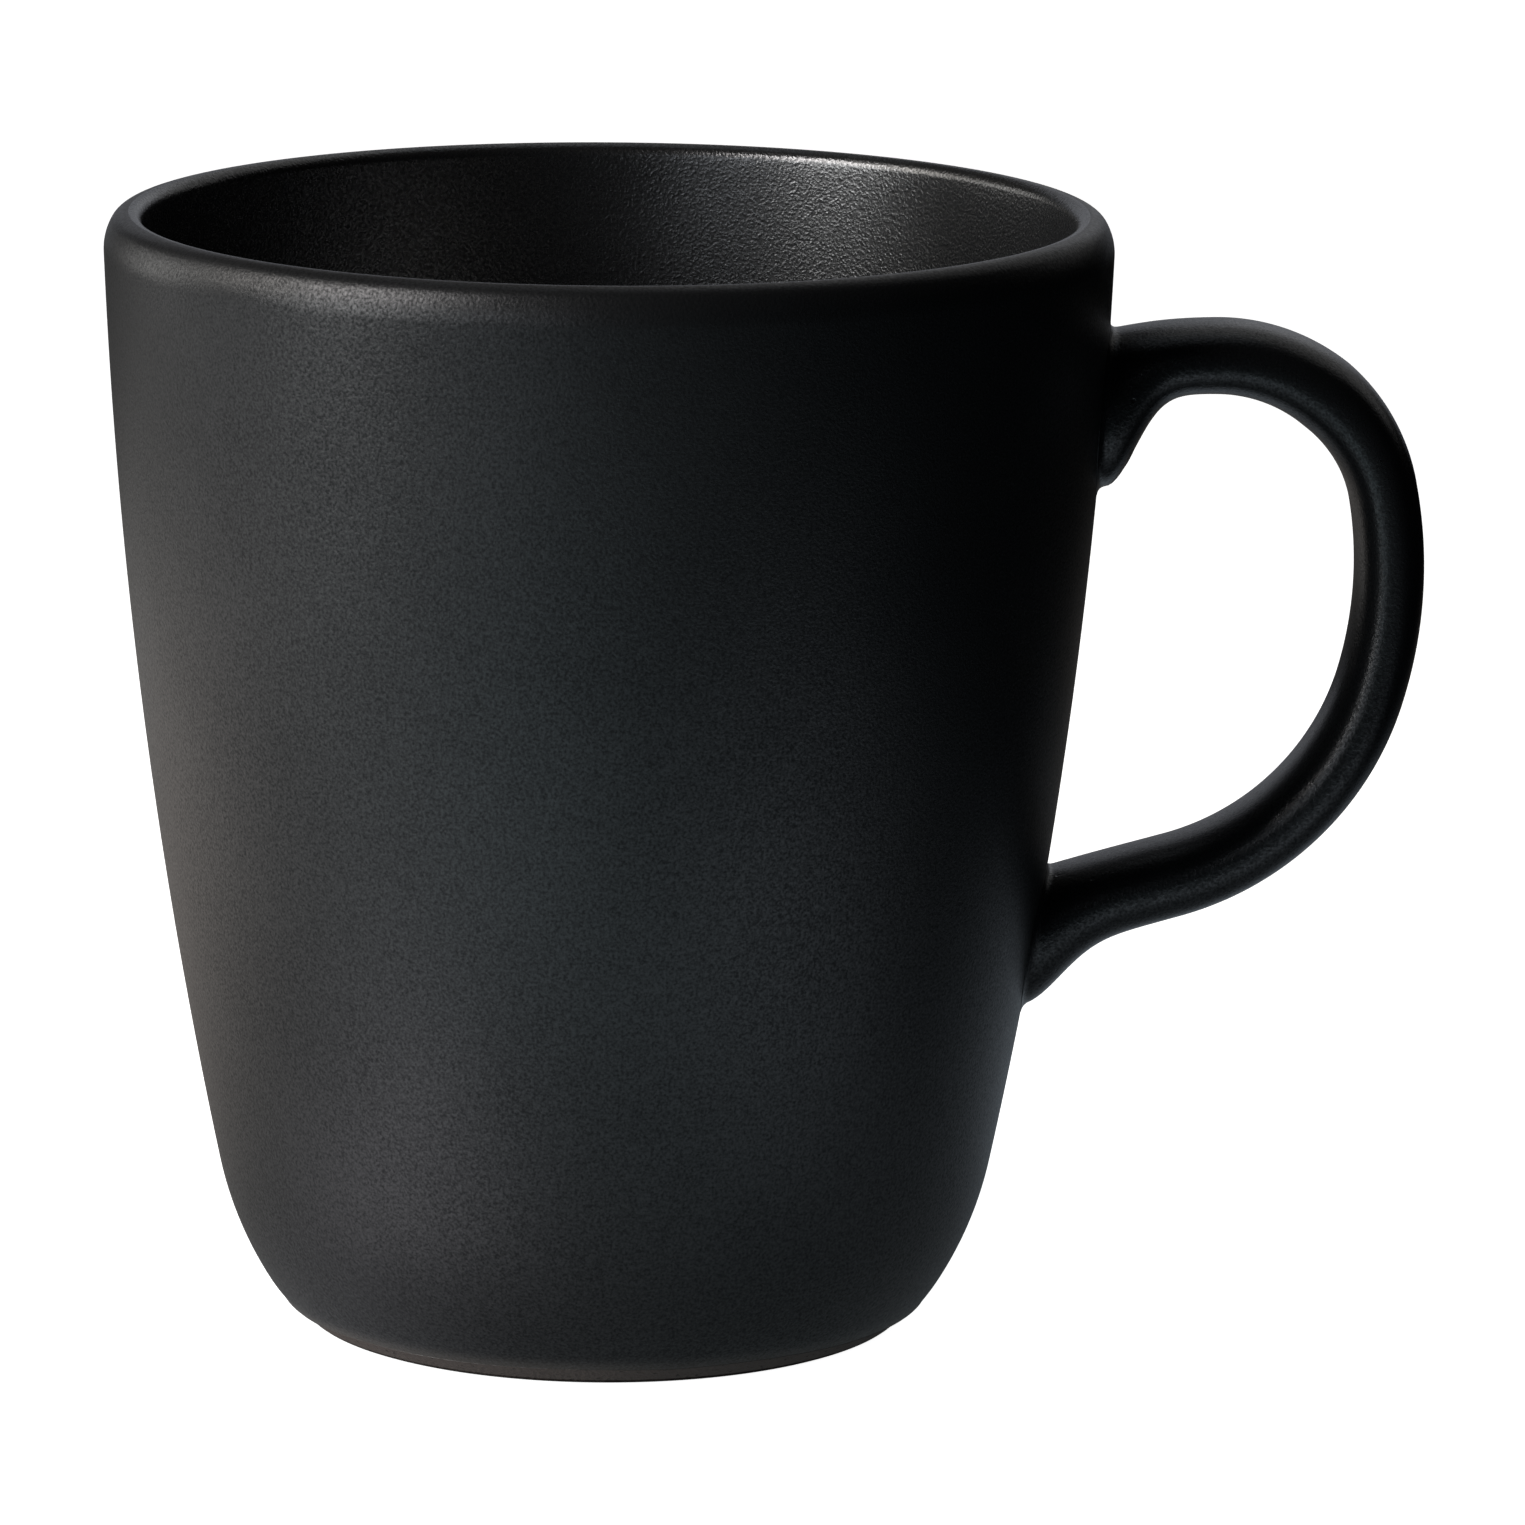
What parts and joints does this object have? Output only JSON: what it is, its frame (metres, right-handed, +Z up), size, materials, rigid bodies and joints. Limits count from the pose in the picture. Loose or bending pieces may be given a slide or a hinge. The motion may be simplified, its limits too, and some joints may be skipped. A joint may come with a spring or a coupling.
{
  "type": "mug",
  "caption": "Matt charcoal stoneware mug: a tall rounded cup on a low bare foot ring, with a looped strap handle luted to its side.",
  "frame": {"origin": "centre of the foot ring's resting face, on the cup's axis", "axes": "+Z up along the cup's axis, +X from the axis towards the handle, +Y to complete a right-handed frame"},
  "size_m": [0.1183, 0.09, 0.1006],
  "materials": {
    "stoneware": "matte",
    "matt_glaze": "matte",
    "satin_liner": "satin",
    "glazed_slip": "matte"
  },
  "bodies": {
    "root": {"mug_body": "stoneware", "outer_glaze": "matt_glaze", "liner_glaze": "satin_liner", "handle": "stoneware", "handle_glaze": "matt_glaze", "upper_slip": "glazed_slip", "lower_slip": "glazed_slip"}
  },
  "joints": []
}
